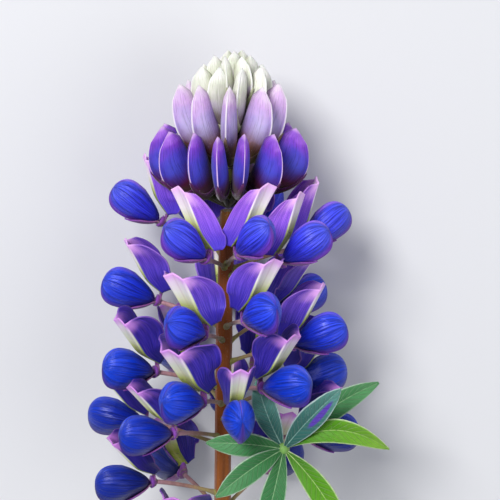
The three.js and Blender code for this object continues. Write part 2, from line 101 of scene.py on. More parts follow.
WHORLS = [
    {
        "level": 87, "reach": 18.8, "pitch": 38, "banner": 13.4, "lean": [16, 38],
        "lobe": 5.2, "crest": 0.46, "droop": 0.4, "wing": [3.4, 3.15],
        "flowers": [
            [-7, -1.6, 0, -1, 0], [35, -2.8, -14, 0, 2], [73, -0.2, -19, 0, 4.4, 0.8],
            [115, -1, 26, 0, -4.4, 0.85], [190, 2.8, -20, 0, 0], [244, 0, 0, 0, 0],
            [296, -0.5, 0, 0, 0],
        ],
    },
    {
        "level": 70.5, "reach": 19.8, "pitch": 24, "banner": 13.8, "lean": [16, 40],
        "lobe": 6.5, "crest": 0.6, "droop": 0.3, "wing": [3.8, 3.0],
        "flowers": [
            [14, -5.8, 0, 0, 0], [-36, -2, 14, 0, -3.4], [68.5, 1.8, -10, 0, 2.4, 0.85],
            [112, -1, 14, 0, -2.4], [188, 1.6, -20, 0, 0], [268, -1, 0, 3.4, 0],
        ],
    },
    {
        "level": 55, "reach": 20.4, "pitch": 14, "banner": 13.8, "lean": [16, 43],
        "lobe": 6.5, "crest": 0.64, "droop": -0.1, "wing": [3.9, 3.2],
        "flowers": [
            [-12, -1.3, 0, 0, 0], [52, 2.4, -14, 0, -0.2, 0.9], [81, -3.2, 0, 0, 0.2, 0.6],
            [112.5, 0, 16, 0, -1.4, 1.15], [158, 3.4, -10, 0, 0], [236, 0, 0, 0, 0],
            [298, 0, 0, 0.7, 0],
        ],
    },
    {
        "level": 45.5, "reach": 21.4, "pitch": 8, "banner": 12.4, "lean": [16, 44],
        "lobe": 5.6, "crest": 0.6, "droop": 0.2, "wing": [3.8, 3.15],
        "flowers": [
            [134.5, 1.8, 14, 0, -2.1], [186, -0.2, 0, -1, 0], [10, -1.5, 0, -1, 0],
            [270, -1, 0, 5, 0],
        ],
    },
    {
        "level": 31, "reach": 21.4, "pitch": 4, "banner": 13, "lean": [16, 46],
        "lobe": 5.6, "crest": 0.6, "droop": 0.2, "wing": [3.7, 3.15],
        "flowers": [
            [112, -4, 0, 0, 0], [160, 3.4, 0, 0, 0], [234, -1, 0, 0.2, 0], [-52, 0, 0, 0, 0],
        ],
    },
]

# Rows of closed buds. base is the height of a bud's foot on the stem and its distance from the
# stem's middle line, foot the height where its stalk starts, tilt how far it leans out from the
# stem, thick its thickness across its width, bow how far it arches outwards, and loose how far
# it may turn round its own length.


def evenly(count, first):
    return [first + 360 * k / count for k in range(count)]


VIOLET_ROW = {
    "azimuths": [12, 50, 76, 98, 120, 147, 172, 200, 228, 257, 290, 330],
    "base": [93.2, 6.7], "tilt": 28, "length": 14.4, "width": 7.6, "thick": 3.7,
    "bow": 2, "foot": 89.8, "loose": 0.14,
}
PALE_ROWS = [
    {
        "azimuths": evenly(9, 10), "base": [98.8, 2.9], "tilt": 23, "length": 17.2,
        "width": 6.4, "thick": 3.8, "bow": 1.3, "foot": 97.5, "loose": 0.3,
    },
    {
        "azimuths": evenly(8, 25), "base": [105, 2.5], "tilt": 15, "length": 13.4,
        "width": 5.4, "thick": 3.6, "bow": 1, "foot": 102.5, "loose": 0.5,
    },
    {
        "azimuths": evenly(6, 60), "base": [109, 1.6], "tilt": 9, "length": 11,
        "width": 4.6, "thick": 3.2, "bow": 0.8, "foot": 107, "loose": 0.7,
    },
    {
        "azimuths": evenly(3, 90), "base": [113, 0.9], "tilt": 4, "length": 7.8,
        "width": 3.8, "thick": 3, "bow": 0.4, "foot": 111.5, "loose": 0.8,
    },
]

BUD_STALK_RADII = [0.5, 0.7]
BUD_CORE_RADII = [1.5, 0.3]

# The leaf. Each leaflet is [bearing, lift, length, arch, bow]: lift is how far it looks up from
# the hub, arch its rise along its length and bow how far it curves to the side.

PETIOLE_FOOT = 17
PETIOLE_RADII = [1.2, 0.85]
PETIOLE_BEND = [9, 5]  # of its bend from its foot: out from the stem and up it
LEAF_HUB = Vector((12.3, 43.8, 13.5))
HUB_RADIUS = 1.25
HUB_HALF_HEIGHT = 1.1
LEAFLET_FOLD = math.radians(32)
LEAFLET_CURL = 0.25  # less fold at its edges, in radians
LEAFLETS = [
    [2, 14, 20.5, 4, 4.5], [32, -12, 23, 1.5, 1.5], [53, 22, 19, 1, 0.5],
    [113, -22, 14.5, 0.5, 0.5], [174, 14, 15, 4, -1], [212, 26, 16, 4, -1],
    [256, 20, 19, 4, 0], [306, 20, 21, 4, 1.5],
]
LEAFLET_STATIONS = [0.04, 0.2, 0.42, 0.64, 0.85, 1]
LEAFLET_HALF_WIDTHS = [0.35, 1.5, 2.4, 2.5, 1.65, 0.3]

# Thickness of what is thin

BANNER_WALL = 0.26
LIP_WALL = 0.24
CUP_WALL = 0.16
LEAFLET_WALL = 0.34

# Steps of each surface, across or around it and along it

BANNER_STEPS = [72, 28]
WING_STEPS = [160, 32]
STALK_STEPS = [12, 20]
CUP_STEPS = [20, 12]
LOWER_LIP_STEPS = [10, 18]
UPPER_LIP_STEPS = [8, 6]
RACHIS_STEPS = [40, 120]
BUD_STEPS = [48, 22]
BUD_CUP_STEPS = [32, 8]
BUD_STALK_STEPS = [10, 8]
BUD_CORE_STEPS = [16, 12]
LEAFLET_STEPS = [28, 44]
PETIOLE_STEPS = [16, 40]
HUB_STEPS = [20, 12]

# Hairs of each piece: their number, their length and how far they lean towards the tip

RACHIS_HAIRS = [1300, 0.55, 0]
STALK_HAIRS = [1500, 0.5, 0]
CALYX_HAIRS = [3600, 0.32, 0]
VIOLET_CUP_HAIRS = [1600, 0.35, 0.8]
PALE_CUP_HAIRS = [1800, 0.4, 1]
PALE_BUD_HAIRS = [4000, 0.35, 1.6]
LEAFLET_HAIRS = [1200, 0.4, 0]
PETIOLE_HAIRS = [400, 0.5, 0]
HAIR_RADIUS = 0.01
LEAF_HAIR_RADIUS = 0.012

# The stage and the camera, in metres

FLOOR_WIDTH = 6
FLOOR_COLOUR = "dededf"
SKY_COLOUR = "e6ecff"
SKY_STRENGTH = 0.3
LIT_POINT = Vector((0, 75, 0))  # that the lamps face, on the plant in its own axes
LAMPS = [
    {"name": "window", "place": (-0.3, 0.42, 0.7), "size": 0.35, "power": 7.2},
    {"name": "fill", "place": (0.45, -0.1, 0.6), "size": 0.6, "power": 1.5},
]
CAMERA_TILT = math.radians(12)
CAMERA_DISTANCE = 0.33
FRAME_WIDTH = 0.1
FRAME_CENTRE = Vector((5.7, 80.9, 0))  # on the plant in its own axes
SENSOR_WIDTH = 36  # in millimetres

# Small sums

Y = Vector((0, 1, 0))
Z = Vector((0, 0, 1))


def lerp(a, b, t):
    return a + (b - a) * t


def smooth(low, high, x):
    """0 below low, 1 above high, with a soft rise between them."""
    t = min(1, max(0, (x - low) / (high - low)))
    return t * t * (3 - 2 * t)


def bell(x, width):
    """1 at x = 0, falling away on both sides over width."""
    return math.exp(-((x / width) ** 2))


def along_stations(stations, values, t):
    """A value on the smooth curve through values at their stations."""
    k = min(max(bisect_left(stations, t), 1), len(stations) - 1)
    before, after = stations[k - 1], stations[k]
    share = min(1, max(0, (t - before) / (after - before)))

    def slope(i):
        low, high = max(i - 1, 0), min(i + 1, len(stations) - 1)
        return (values[high] - values[low]) / (stations[high] - stations[low])

    s2, s3 = share * share, share * share * share
    gap = after - before
    return (
        (2 * s3 - 3 * s2 + 1) * values[k - 1]
        + (s3 - 2 * s2 + share) * gap * slope(k - 1)
        + (3 * s2 - 2 * s3) * values[k]
        + (s3 - s2) * gap * slope(k)
    )


# The plant's place on the surface

MILLIMETRE = 0.001
FLOOR_CLEARANCE = 0.02 * MILLIMETRE


def cut_end():
    """The middle of the stem's cut end in metres, where the plant's own axes start."""
    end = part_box("stem")[0].y
    near = end + 0.1 * MILLIMETRE
    rim = [v.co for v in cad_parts["stem"].data.vertices if v.co.y < near]
    low = Vector([min(co[i] for co in rim) for i in range(3)])
    high = Vector([max(co[i] for co in rim) for i in range(3)])
    return (low + high) / 2


SET_DOWN = Matrix.Translation(cut_end()) @ Matrix.Scale(MILLIMETRE, 4)


def stem_centre(height):
    return Vector((TIP_LEAN * (height / SPIKE_LENGTH) ** 3, height, 0))


def outward(azimuth):
    return Vector((math.cos(math.radians(azimuth)), 0, math.sin(math.radians(azimuth))))


def flower_axes(whorl, flower):
    """A flower's own axes: x along it from the mouth of its stalk, z towards the spike's tip."""
    azimuth, rise, turn, push = flower[:4]
    facing = outward(azimuth + turn)
    pitch = math.radians(whorl["pitch"])
    along = facing * math.cos(pitch) + Y * math.sin(pitch)
    up = -facing * math.sin(pitch) + Y * math.cos(pitch)
    mouth = stem_centre(whorl["level"] + rise) + outward(azimuth) * (whorl["reach"] - push)
    axes = Matrix((along, up.cross(along), up)).transposed().to_4x4()
    axes.translation = mouth - along * WING_MIDDLE
    return axes


# Mesh helpers


def only(piece):
    """Selects this piece alone and makes it the active one."""
    bpy.ops.object.select_all(action="DESELECT")
    piece.select_set(True)
    bpy.context.view_layer.objects.active = piece


def named(name):
    piece = bpy.context.object
    piece.name = piece.data.name = name
    return piece


def emboss(piece, heights):
    """Moves each point along its own normal."""
    piece.data.update()
    normals = [vertex.normal.copy() for vertex in piece.data.vertices]
    for vertex, normal, height in zip(piece.data.vertices, normals, heights):
        vertex.co += normal * height


def meshed(name, points, faces):
    """A new piece of these points and faces."""
    mesh = bpy.data.meshes.new(name)
    mesh.from_pydata(points, [], faces)
    mesh.uv_layers.new(name="UVMap")
    piece = bpy.data.objects.new(name, mesh)
    bpy.context.collection.objects.link(piece)
    return piece


def petal_sheet(name, across, along, place, relief=None):
    """A sheet whose points go where place(u, v) says, u across it and v along it from 0 to 1."""
    bpy.ops.object.select_all(action="DESELECT")
    bpy.ops.mesh.primitive_grid_add(x_subdivisions=across, y_subdivisions=along, size=1)
    piece = named(name)
    spots = [(v.co.x + 0.5, v.co.y + 0.5) for v in piece.data.vertices]
    for vertex, (u, v) in zip(piece.data.vertices, spots):
        vertex.co = place(u, v)
    if relief:
        emboss(piece, [relief(u, v) for u, v in spots])
    return piece


def pod(name, around, along, place, relief=None):
    """A closed pod: place(turn, share) gives its points, turn round it and share along it."""
    turns = [math.pi * (1 - 2 * i / around) for i in range(around)]
    spots = [(0, 0)] + [(turn, k / along) for k in range(1, along) for turn in turns] + [(0, 1)]
    faces, sheet = [], []
    for k in range(along):
        low, high = 1 + (k - 1) * around, 1 + k * around
        for i in range(around):
            j = (i + 1) % around
            if k == 0:
                faces.append((0, high + i, high + j))
                sheet += [(i + 0.5, k), (i, k + 1), (i + 1, k + 1)]
            elif k < along - 1:
                faces.append((low + i, high + i, high + j, low + j))
                sheet += [(i, k), (i, k + 1), (i + 1, k + 1), (i + 1, k)]
            else:
                faces.append((low + i, high, low + j))
                sheet += [(i, k), (i + 0.5, k + 1), (i + 1, k)]
    piece = meshed(name, [place(turn, share) for turn, share in spots], faces)
    for corner, (column, row) in zip(piece.data.uv_layers["UVMap"].data, sheet):
        corner.uv = (1 - column / around, row / along)
    face_outwards(piece)
    if relief:
        emboss(piece, [relief(turn, share) for turn, share in spots])
    return piece


def face_outwards(piece, merge=0.0):
    """Turns all faces outwards, after points closer than merge are made one."""
    only(piece)
    bpy.ops.object.mode_set(mode="EDIT")
    bpy.ops.mesh.select_all(action="SELECT")
    if merge:
        bpy.ops.mesh.remove_doubles(threshold=merge)
    bpy.ops.mesh.normals_make_consistent(inside=False)
    bpy.ops.object.mode_set(mode="OBJECT")


def wall(piece, thickness, offset=0.0, second_side=0):
    """Gives a sheet its thickness. second_side moves its far side on to a later material."""
    only(piece)
    modifier = piece.modifiers.new("wall", "SOLIDIFY")
    modifier.thickness = thickness
    modifier.offset = offset
    modifier.material_offset = second_side
    bpy.ops.object.modifier_apply(modifier="wall")


def joined(name, parts):
    """One piece made of all these parts."""
    only(parts[0])
    for part in parts:
        part.select_set(True)
    bpy.ops.object.join()
    return named(name)


def tube(name, around, along, line, radii):
    """A round bar with domed ends along line(t), t from 0 to 1."""
    dome, step = 0.06, 0.01

    def place(turn, share):
        t = min(1, max(0, (share - dome) / (1 - 2 * dome)))
        end = min(1, min(share, 1 - share) / dome)
        ahead = line(min(1, t + step)) - line(max(0, t - step))
        across = (Z if abs(ahead.normalized().z) < 0.9 else Y).cross(ahead).normalized()
        other = ahead.normalized().cross(across)
        radius = radii(t) * math.sqrt(max(0, 1 - (1 - end) ** 2))
        return line(t) + across * (radius * math.cos(turn)) + other * (radius * math.sin(turn))

    return pod(name, around, along, place)


def finished(piece, materials, nodes=(), axes=None):
    """Sets a piece down with its finish, nowhere under the surface, and hides the plain parts it
    replaces.
    """
    piece.data.transform(SET_DOWN @ axes if axes else SET_DOWN)
    for vertex in piece.data.vertices:
        vertex.co.z = max(vertex.co.z, FLOOR_CLEARANCE)
    if not piece.data.materials:
        for material in materials:
            piece.data.materials.append(material)
    only(piece)
    bpy.ops.object.shade_smooth()
    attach(piece, "root")
    if nodes:
        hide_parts(*nodes)
    return piece


# Finishes

SHEEN_ROUGHNESS = 0.4
LIGHT_REACH = 0.7 * MILLIMETRE  # of light inside a petal
LIGHT_SPREAD = (1.0, 0.6, 1.0)  # share of that reach for red, green and blue


def colour(code):
    """The linear red, green, blue and alpha of a colour written as six hex digits."""
    shares = [int(code[i : i + 2], 16) / 255 for i in (0, 2, 4)]
    return [c / 12.92 if c <= 0.04045 else ((c + 0.055) / 1.055) ** 2.4 for c in shares] + [1]


class Finish:
    """A Principled material and short calls for the nodes that feed it."""

    def __init__(self, name, roughness=0.5, sheen=0.0, soft=0.0, gloss=0.25):
        self.material = bpy.data.materials.new(name)
        self.material.use_nodes = True
        self.tree = self.material.node_tree
        self.shader = self.tree.nodes["Principled BSDF"]
        for socket, value in (
            ("Roughness", roughness),
            ("Specular IOR Level", gloss),
            ("Sheen Weight", sheen),
            ("Sheen Roughness", SHEEN_ROUGHNESS),
            ("Subsurface Weight", soft),
            ("Subsurface Radius", LIGHT_SPREAD),
            ("Subsurface Scale", LIGHT_REACH),
        ):
            self.shader.inputs[socket].default_value = value
        sheet = self.tree.nodes.new("ShaderNodeUVMap")
        sheet.uv_map = "UVMap"
        split = self.node("ShaderNodeSeparateXYZ", sheet.outputs["UV"])
        self.u, self.v = split.outputs[0], split.outputs[1]
        self.spot = self.tree.nodes.new("ShaderNodeTexCoord").outputs["Object"]

    def set(self, socket, source):
        if isinstance(source, bpy.types.NodeSocket):
            self.tree.links.new(source, socket)
        else:
            socket.default_value = source

    def node(self, kind, *sources):
        made = self.tree.nodes.new(kind)
        for socket, source in zip(made.inputs, sources):
            self.set(socket, source)
        return made

    def sum(self, operation, *sources):
        made = self.node("ShaderNodeMath", *sources)
        made.operation = operation
        return made.outputs[0]

    def times(self, first, second):
        return self.sum("MULTIPLY", first, second)

    def across(self):
        """0 on a sheet's middle line and 1 at its two edges."""
        return self.sum("ABSOLUTE", self.sum("MULTIPLY_ADD", self.u, 2.0, -1.0))

    def turn(self):
        """The angle round a pod, from -pi to pi."""
        return self.sum("MULTIPLY_ADD", self.u, 2 * math.pi, -math.pi)

    def rise(self, value, low, high):
        """0 where value is below low, 1 above high, soft between them."""
        made = self.node("ShaderNodeMapRange", value, low, high)
        made.interpolation_type = "SMOOTHSTEP"
        return made.outputs[0]

    def line(self, value, middle, width):
        """1 where value is at its middle, fading to 0 at width from it."""
        off = self.sum("ABSOLUTE", self.sum("SUBTRACT", value, middle))
        return self.rise(off, width, 0.0)

    def point(self, x, y, z=0.0):
        return self.node("ShaderNodeCombineXYZ", x, y, z).outputs[0]

    def grain(self, at, scale, detail=2.0, roughness=0.5):
        made = self.tree.nodes.new("ShaderNodeTexNoise")
        self.set(made.inputs["Vector"], at)
        self.set(made.inputs["Scale"], scale)
        self.set(made.inputs["Detail"], detail)
        self.set(made.inputs["Roughness"], roughness)
        return made.outputs[0]

    def streaks(self, side, across, along, scale=1.0, detail=1.0, shift=0.0):
        """Noise with so many grains across the piece, measured by side, and along it."""
        at = self.point(self.times(side, across), self.times(self.v, along), shift)
        return self.grain(at, scale, detail)

    def mix(self, share, first, second):
        made = self.tree.nodes.new("ShaderNodeMix")
        made.data_type = "RGBA"
        self.set(made.inputs[0], share)
        for socket, source in ((made.inputs[6], first), (made.inputs[7], second)):
            self.set(socket, colour(source) if isinstance(source, str) else source)
        return made.outputs[2]

    def laid(self, base, over, mask, strength=1.0):
        """base with over laid on it where mask is 1, at this strength."""
        return self.mix(mask if strength == 1.0 else self.times(mask, strength), base, over)

    def ramp(self, value, stops):
        """A colour that runs through stops of (place, colour) as value goes from 0 to 1."""
        made = self.node("ShaderNodeValToRGB", value)
        band = made.color_ramp
        while len(band.elements) < len(stops):
            band.elements.new(0.5)
        for element, (place, code) in zip(band.elements, stops):
            element.position = place
            element.color = colour(code)
        return made.outputs[0]

    def done(self, base, height=None, depth=0.0):
        """The material with its colour, and a bump of this depth in millimetres."""
        self.set(self.shader.inputs["Base Color"], base)
        if height is not None:
            bump = self.tree.nodes.new("ShaderNodeBump")
            self.set(bump.inputs["Height"], height)
            self.set(bump.inputs["Distance"], depth * MILLIMETRE)
            self.set(bump.inputs["Strength"], 1.0)
            self.set(self.shader.inputs["Normal"], bump.outputs[0])
        return self.material


# Banner finishes from the top whorl down: lobe at its foot, middle and crest, darker vein,
# wash at the tip, pale back and middle strip

BANNER_COLOURS = [
    ["5e48e0", "8e5ae8", "c67cf2", "482aae", "f6c0fa", "c8b0f2", "f7ede9"],
    ["3e30be", "5e46d0", "8a58da", "281c8c", "eeb2f6", "bab0f0", "f2eee0"],
    ["28209a", "362aaa", "5238b8", "140f5c", "dc98ea", "a49ae6", "e4e8ca"],
    ["221a8a", "2c249a", "4630a8", "100b4e", "d48ce2", "988cda", "dce4bc"],
    ["1c167c", "261e8c", "3e2a98", "0d0944", "cc84da", "9084d2", "dce4bc"],
]


def banner_finish(number):
    """The banner's face: veined lobes on both sides of a pale strip with a green foot."""
    foot, middle, crest, vein, wash, _, cream = BANNER_COLOURS[number]
    face = Finish(f"banner_face_{number + 1}", roughness=0.5, sheen=0.08, soft=0.15)
    q, v = face.across(), face.v
    streak = face.streaks(q, 42.0, 1.3)
    thread = face.streaks(q, 105.0, 1.8, shift=5.0)
    drift = face.grain(face.spot, 300.0, 2.0)
    fleck = face.grain(face.spot, 1500.0, 2.0)

    lobe = face.ramp(v, [(0.12, foot), (0.46, middle), (0.86, crest)])
    lobe = face.laid(lobe, vein, face.rise(streak, 0.46, 0.66), 0.36)
    lobe = face.laid(lobe, vein, face.line(streak, 0.5, 0.05), 0.6)
    lobe = face.laid(lobe, vein, face.rise(thread, 0.5, 0.62), 0.6)
    lobe = face.laid(lobe, wash, face.rise(thread, 0.44, 0.3), 0.12)
    height = face.sum("ADD", v, face.sum("MULTIPLY_ADD", drift, 0.24, -0.12))
    near_strip = face.rise(q, 0.85, 0.36)
    lobe = face.laid(lobe, wash, face.times(face.rise(height, 0.7, 0.98), near_strip))
    margin = face.sum("MAXIMUM", face.rise(q, 0.965, 1.0), face.rise(v, 0.97, 1.0))
    lobe = face.laid(lobe, wash, margin, 0.22)

    strip = face.ramp(
        v,
        [(0.34, "8c9a34"), (0.45, "c2cc70"), (0.56, "e6e8ba"), (0.68, cream), (0.86, "f3daf0"),
         (0.97, wash)],
    )
    # A brownish line along the strip's middle crease: painted shade in the crease.
    strip = face.laid(strip, "b98a98", face.rise(q, 0.07, 0.0), 0.22)
    dots = face.times(face.rise(fleck, 0.6, 0.66), face.rise(v, 0.48, 0.36))
    strip = face.laid(strip, "4c4a38", dots, 0.75)
    strip = face.laid(strip, face.mix(0.5, wash, middle), face.rise(streak, 0.5, 0.7), 0.22)
    return face.done(face.laid(strip, lobe, face.rise(q, 0.32, 0.36)), streak, 0.06)


def banner_back(number):
    _, middle, _, _, wash, pale, _ = BANNER_COLOURS[number]
    back = Finish(f"banner_back_{number + 1}", roughness=0.55, sheen=0.12, soft=0.15)
    q = back.across()
    streak = back.streaks(q, 44.0, 1.4)
    base = back.ramp(back.v, [(0.08, "7d8a58"), (0.25, pale), (0.7, pale), (1.0, wash)])
    base = back.laid(base, middle, back.rise(streak, 0.45, 0.66), 0.4)
    base = back.laid(base, "d3cbe4", back.rise(q, 0.32, 0.12), 0.6)
    base = back.laid(base, middle, back.rise(q, 0.9, 0.98))
    return back.done(base, streak, 0.06)


# Depth of the ribs on the wing petals from the top whorl down, older flowers being smoother

WING_RIBS = [0.18, 0.15, 0.11, 0.09, 0.09]

# Wing finishes from the top whorl down: foot, cheek, front, rim and lower edge. The foot colour
# also serves as painted shade, and the rim along the top edge is partly its own pinkish colour and
# partly a painted highlight.

WING_COLOURS = [
    ["1814b0", "3438f2", "5462fe", "b878ec", "8e3cc4"],
    ["0c189c", "1834dc", "2e50f6", "7c60ea", "7638b4"],
    ["04127c", "002cbc", "0c48e8", "4c60e6", "5c30a0"],
    ["030e64", "0022a0", "083cd0", "3454d8", "4c2a8c"],
    ["020a50", "001c86", "0630b4", "284ac6", "40247c"],
]
WING_SEAM_COLOUR = "b47ae2"


def wing_finish(number):
    """The wing pair's skin: wrinkled and veined cheeks with a seam where the two wings meet, and
    painted shade and highlights.
    """
    foot, cheek, front, rim, keel = WING_COLOURS[number]
    skin = Finish(f"wing_skin_{number + 1}", roughness=0.34, sheen=0.03, soft=0.05, gloss=0.42)
    sideways, up = skin.sum("COSINE", skin.turn()), skin.sum("SINE", skin.turn())
    flank = skin.sum("ABSOLUTE", sideways)
    ribs = WING_RIBS[number] / WING_RIBS[0]

    def ring(fine, long):
        return skin.point(
            skin.times(sideways, fine), skin.times(up, fine), skin.times(skin.v, long)
        )

    wrinkle = skin.grain(ring(9.0, 2.2), 1.2, 3.0, 0.6)
    thread = skin.grain(ring(32.0, 1.4), 1.0, 1.0)
    veins = skin.line(skin.grain(ring(13.0, 0.9), 1.0, 1.0), 0.5, 0.05)
    vein_strength = skin.sum("MULTIPLY_ADD", skin.rise(skin.v, 1.05, 0.4), 0.5 * ribs, 0.25 * ribs)

    # Darker towards the foot: partly the wings' own colour and partly painted shade near the foot.
    base = skin.ramp(skin.v, [(0.06, foot), (0.38, cheek), (0.85, front)])
    # Painted shade and painted highlights in streaks over the wrinkles, weaker on older flowers.
    base = skin.laid(base, foot, skin.rise(wrinkle, 0.5, 0.68), 0.45 * ribs)
    base = skin.laid(base, front, skin.rise(wrinkle, 0.47, 0.32), 0.4 * ribs)
    base = skin.laid(base, foot, skin.rise(thread, 0.5, 0.64), 0.45)
    base = skin.laid(base, foot, skin.times(veins, vein_strength))
    # Painted shade on the lower half of the pod.
    base = skin.laid(base, foot, skin.rise(up, -0.05, -0.8), 0.4)
    base = skin.laid(base, keel, skin.rise(up, -0.66, -0.98), 0.75)
    # The top edge in the rim colour: partly its own pinkish colour and partly a painted highlight.
    high = skin.times(skin.rise(up, 0.86, 0.99), skin.rise(skin.v, 0.3, 0.6))
    base = skin.laid(base, rim, high, 0.5)
    seam = skin.times(skin.rise(flank, 0.06, 0.02), skin.rise(skin.v, 0.3, 0.5))
    base = skin.laid(base, WING_SEAM_COLOUR, seam, 0.8)
    height = skin.sum("MULTIPLY_ADD", thread, 0.4, wrinkle)
    return skin.done(base, skin.sum("SUBTRACT", height, veins), 0.2 * ribs)


def bud_finish(name, stops, painted_highlight, shade, rim, edge):
    """A closed bud with a painted highlight on its cheeks, painted shade on its inner side and a
    pale rim of width edge, partly its own margin and partly painted light through the edge.
    """
    skin = Finish(name, roughness=0.5, sheen=0.15, soft=0.15)
    turn = skin.sum("ABSOLUTE", skin.turn())
    streak = skin.streaks(turn, 8.0, 2.6, 1.6, 3.0)
    cloud = skin.grain(skin.spot, 420.0, 2.0)
    base = skin.ramp(skin.sum("ADD", skin.v, skin.sum("MULTIPLY_ADD", cloud, 0.3, -0.15)), stops)
    # Painted highlight on the middle of each cheek.
    cheek = skin.times(skin.line(turn, 1.2, 0.9), skin.line(skin.v, 0.56, 0.3))
    base = skin.laid(base, painted_highlight, cheek, 0.55)
    # Painted shade on the inner side, towards the stem.
    base = skin.laid(base, shade, skin.rise(turn, 1.7, 3.0), 0.6)
    base = skin.laid(base, shade, skin.rise(streak, 0.48, 0.7), 0.4)
    base = skin.laid(base, rim, skin.rise(skin.v, 0.93, 0.99), 0.6)
    # A pale rim along the outer edge: partly the bud's own pale margin and partly painted light
    # shining through the edge.
    crest = skin.times(skin.rise(turn, edge, 0.4 * edge), skin.rise(skin.v, 0.12, 0.4))
    base = skin.laid(base, rim, crest, 0.9)
    return skin.done(base, streak, 0.12)


def leaf_finish(name, stops, rib, edge, reflected_violet=None):
    """A leaflet's skin with its midrib, side veins and pale margin, and a band of painted violet
    reflection.
    """
    skin = Finish(name, roughness=0.5, sheen=0.2, soft=0.1)
    q = skin.across()
    cloud = skin.grain(skin.spot, 260.0, 3.0)
    fine = skin.streaks(q, 14.0, 26.0, detail=2.0)
    slant = skin.sum("FRACT", skin.sum("MULTIPLY_ADD", skin.v, 13.0, skin.times(q, -2.2)))
    side_veins = skin.line(slant, 0.5, 0.1)
    base = skin.ramp(skin.sum("ADD", skin.v, skin.sum("MULTIPLY_ADD", cloud, 0.4, -0.2)), stops)
    base = skin.laid(base, stops[0][1], skin.rise(fine, 0.45, 0.7), 0.3)
    base = skin.laid(base, rib, side_veins, 0.3)
    if reflected_violet:
        # A painted violet reflection of the flowers, in a band along the leaflet.
        band = skin.times(skin.line(skin.u, 0.28, 0.16), skin.line(skin.v, 0.62, 0.3))
        base = skin.laid(base, reflected_violet, skin.rise(band, 0.05, 0.4))
    base = skin.laid(base, rib, skin.rise(q, 0.08, 0.02), 0.85)
    base = skin.laid(base, edge, skin.rise(q, 0.88, 0.99), 0.7)
    return skin.done(base, skin.sum("SUBTRACT", fine, side_veins), 0.1)


def plain_finish(name, stops, speck, roughness=0.6, sheen=0.3, scale=900.0, stretch=0.15):
    """A green or brown skin: colours along the piece, with streaks of speck."""
    skin = Finish(name, roughness=roughness, sheen=sheen, soft=0.15)
    mapped = skin.tree.nodes.new("ShaderNodeMapping")
    skin.set(mapped.inputs["Vector"], skin.spot)
    mapped.inputs["Scale"].default_value = (1, stretch, 1)
    streak = skin.grain(mapped.outputs[0], scale, 4.0, 0.6)
    base = skin.laid(skin.ramp(skin.v, stops), speck, skin.rise(streak, 0.4, 0.7), 0.55)
    return skin.done(base, streak, 0.1)


BANNER_FACES = [banner_finish(k) for k in range(len(WHORLS))]
BANNER_BACKS = [banner_back(k) for k in range(len(WHORLS))]
WING_SKINS = [wing_finish(k) for k in range(len(WHORLS))]

# Finishes of the stem, the stalks and the calyxes, each from the foot of the piece to its end

RACHIS_BARK = plain_finish(
    "rachis_skin",
    [(0, "845a28"), (0.5, "96501e"), (0.9, "985222"), (1, "86702a")],
    "46240e",
    scale=700.0,
    stretch=0.08,
)
STALK_SKIN = plain_finish("stalk_skin", [(0, "8f9a3a"), (0.5, "a07a66"), (1, "b98a9a")], "7c5a5e")
CALYX_SKIN = plain_finish("calyx_skin", [(0, "8a8a50"), (0.3, "94588c"), (1, "8440ac")], "5c3088")
# The bud stalks and the core between the buds: dark olive, partly their own colour and partly
# painted shade in the gaps between the buds.
BUD_STALK_SKIN = plain_finish("bud_stalk_skin", [(0, "4a4818"), (1, "50542c")], "2e3016")
VIOLET_CUP = plain_finish(
    "violet_calyx_skin",
    [(0, "55641c"), (0.35, "4a3a18"), (0.7, "4e1a3c"), (1, "5e2460")],
    "361430",
)
PALE_CUP = plain_finish(
    "pale_calyx_skin", [(0, "5e6424"), (0.5, "6c5e34"), (1, "866a5c")], "4a4a20"
)
TIP_CUP = plain_finish(
    "tip_calyx_skin", [(0, "6a7438"), (0.5, "949a6a"), (1, "c4c4a4")], "7c8252"
)

# Finishes of the closed buds, from the foot of a bud to its tip: the violet ring, the lowest
# pale row and the rows above it

VIOLET_SKIN = bud_finish(
    "violet_bud_skin",
    [(0.1, "44401a"), (0.28, "5a1a3e"), (0.43, "4c2072"), (0.56, "3e38b0"), (0.7, "5440c2"),
     (0.86, "8040c8"), (1.0, "b474e4")],
    painted_highlight="5a60e0",
    shade="241646",
    rim="f4d0f6",
    edge=0.17,
)
PALE_SKIN = bud_finish(
    "pale_bud_skin",
    [(0.1, "564a18"), (0.32, "7e4a46"), (0.46, "9478aa"), (0.62, "b29cda"), (0.8, "d8b0e6"),
     (0.96, "f0dcee")],
    painted_highlight="dcd4f4",
    shade="6e6076",
    rim="fff6fc",
    edge=0.3,
)
TIP_SKIN = bud_finish(
    "tip_bud_skin",
    [(0.12, "5c5c28"), (0.32, "84707a"), (0.46, "b0a2b6"), (0.58, "c6c6b6"), (0.74, "e8ead8"),
     (0.95, "faf8f2")],
    painted_highlight="e2e4d6",
    shade="8c9662",
    rim="fffef8",
    edge=0.34,
)

# Finishes of the leaf

